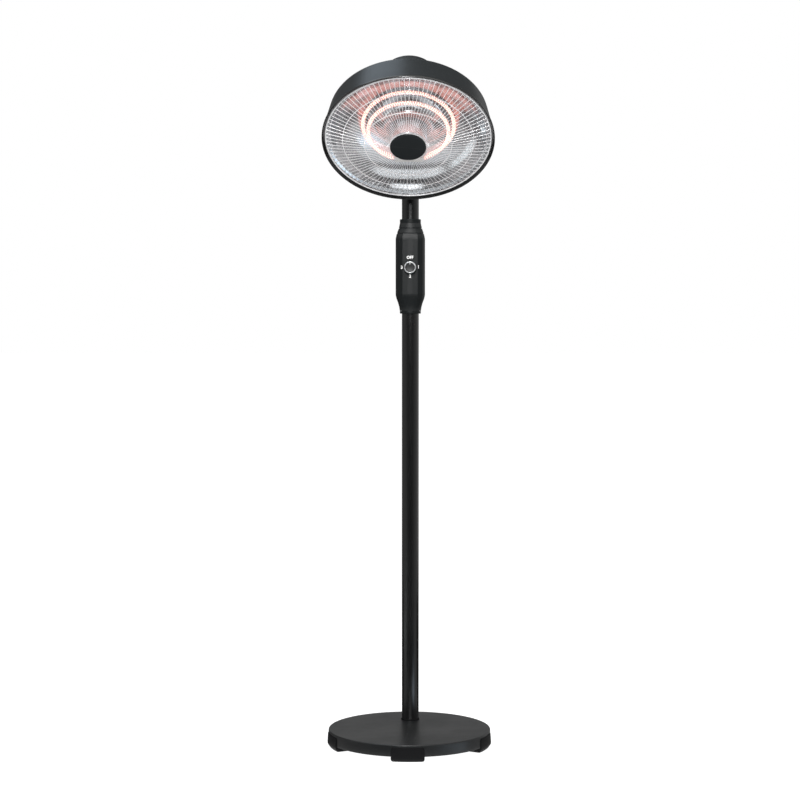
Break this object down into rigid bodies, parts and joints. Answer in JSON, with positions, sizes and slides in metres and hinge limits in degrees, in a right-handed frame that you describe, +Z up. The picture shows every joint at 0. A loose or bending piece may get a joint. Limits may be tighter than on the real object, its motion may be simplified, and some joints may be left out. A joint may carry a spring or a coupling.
{
  "type": "infrared patio heater tower",
  "caption": "Free-standing infrared patio heater: round weighted foot, tall pole with a control box and rotary knob, and a tilting round head with ring lamps behind a wire guard.",
  "frame": {"origin": "on the ground, under the middle of the heater's bounding box, so the pole's axis is at y = +0.1638 m", "axes": "+Z up; the heater faces -Y; +X is on the right of someone who looks at its front"},
  "size_m": [0.4256, 0.5312, 1.7502],
  "materials": {
    "base_coat": "matte fine-textured powder coat, dark grey",
    "cowl_coat": "satin charcoal enamel",
    "black_coat": "satin black powder coat",
    "box_plastic": "moulded plastic with a fine spark texture, charcoal",
    "knob_plastic": "smooth black plastic",
    "rubber": "moulded black rubber",
    "nylon": "black nylon",
    "chrome": "bright nickel-chrome plate",
    "zinc": "zinc-plated steel",
    "bright_aluminium": "polished anodised aluminium",
    "sheet_steel": "galvanised sheet steel",
    "concrete": "cast concrete ballast",
    "quartz": "clear quartz tube",
    "glowing": "wound tungsten filament, glowing",
    "ceramic": "unglazed steatite ceramic"
  },
  "bodies": {
    "stand": {"base_cover": "base_coat", "base_weight": "concrete", "base_plate": "sheet_steel", "foot_front": "rubber", "foot_front_right": "rubber", "foot_rear_right": "rubber", "foot_rear_left": "rubber", "foot_front_left": "rubber", "pole_seal": "rubber", "pole_plug": "zinc", "pole_washer": "zinc", "pole_bolt": "zinc", "lower_pole": "black_coat", "upper_pole": "black_coat", "cable_gland": "nylon", "pole_sleeve": "zinc", "box_front": "box_plastic", "box_rear": "box_plastic", "box_screw_lower_left": "zinc", "box_screw_lower_right": "zinc", "box_screw_upper_left": "zinc", "box_screw_upper_right": "zinc", "box_collar_top": "box_plastic", "box_collar_bottom": "box_plastic", "switch_body": "nylon", "switch_nut": "zinc", "terminal_block": "ceramic", "tip_switch": "nylon", "pole_fork": "black_coat", "washer_left": "nylon", "washer_right": "nylon", "hinge_bolt": "zinc"},
    "knob": {"control_knob": "knob_plastic", "knob_ring": "chrome", "switch_shaft": "zinc"},
    "clamp": {"tilt_knob": "knob_plastic"},
    "head": {"head_arm": "black_coat", "arm_screw_left": "zinc", "arm_screw_right": "zinc", "cowl": "cowl_coat", "front_ring": "black_coat", "neck_housing": "cowl_coat", "neck_cap": "cowl_coat", "heat_shield": "sheet_steel", "reflector_dish": "bright_aluminium", "reflector_hub": "bright_aluminium", "lamp_tube_outer": "quartz", "lamp_tube_inner": "quartz", "filament_outer": "glowing", "filament_inner": "glowing", "lamp_base_outer": "ceramic", "lamp_base_inner": "ceramic", "lamp_clip_1": "sheet_steel", "lamp_clip_2": "sheet_steel", "lamp_clip_3": "sheet_steel", "lamp_clip_4": "sheet_steel", "guard_grille": "chrome", "guard_cap": "black_coat", "thermal_cutout": "ceramic", "head_terminal_block": "ceramic"}
  },
  "joints": [
    {"name": "head_tilt", "type": "hinge", "parent": "stand", "child": "head", "pos_m": [0, 0.16381, 1.468], "axis": [-1, 0, 0], "range_deg": [-40, 5]},
    {"name": "knob_turn", "type": "hinge", "parent": "stand", "child": "knob", "pos_m": [0, 0.12, 1.224], "axis": [0, 1, 0], "range_deg": [0, 270]},
    {"name": "clamp_turn", "type": "hinge", "parent": "stand", "child": "clamp", "pos_m": [0.036, 0.16381, 1.468], "axis": [1, 0, 0], "range_deg": [0, 360]}
  ]
}
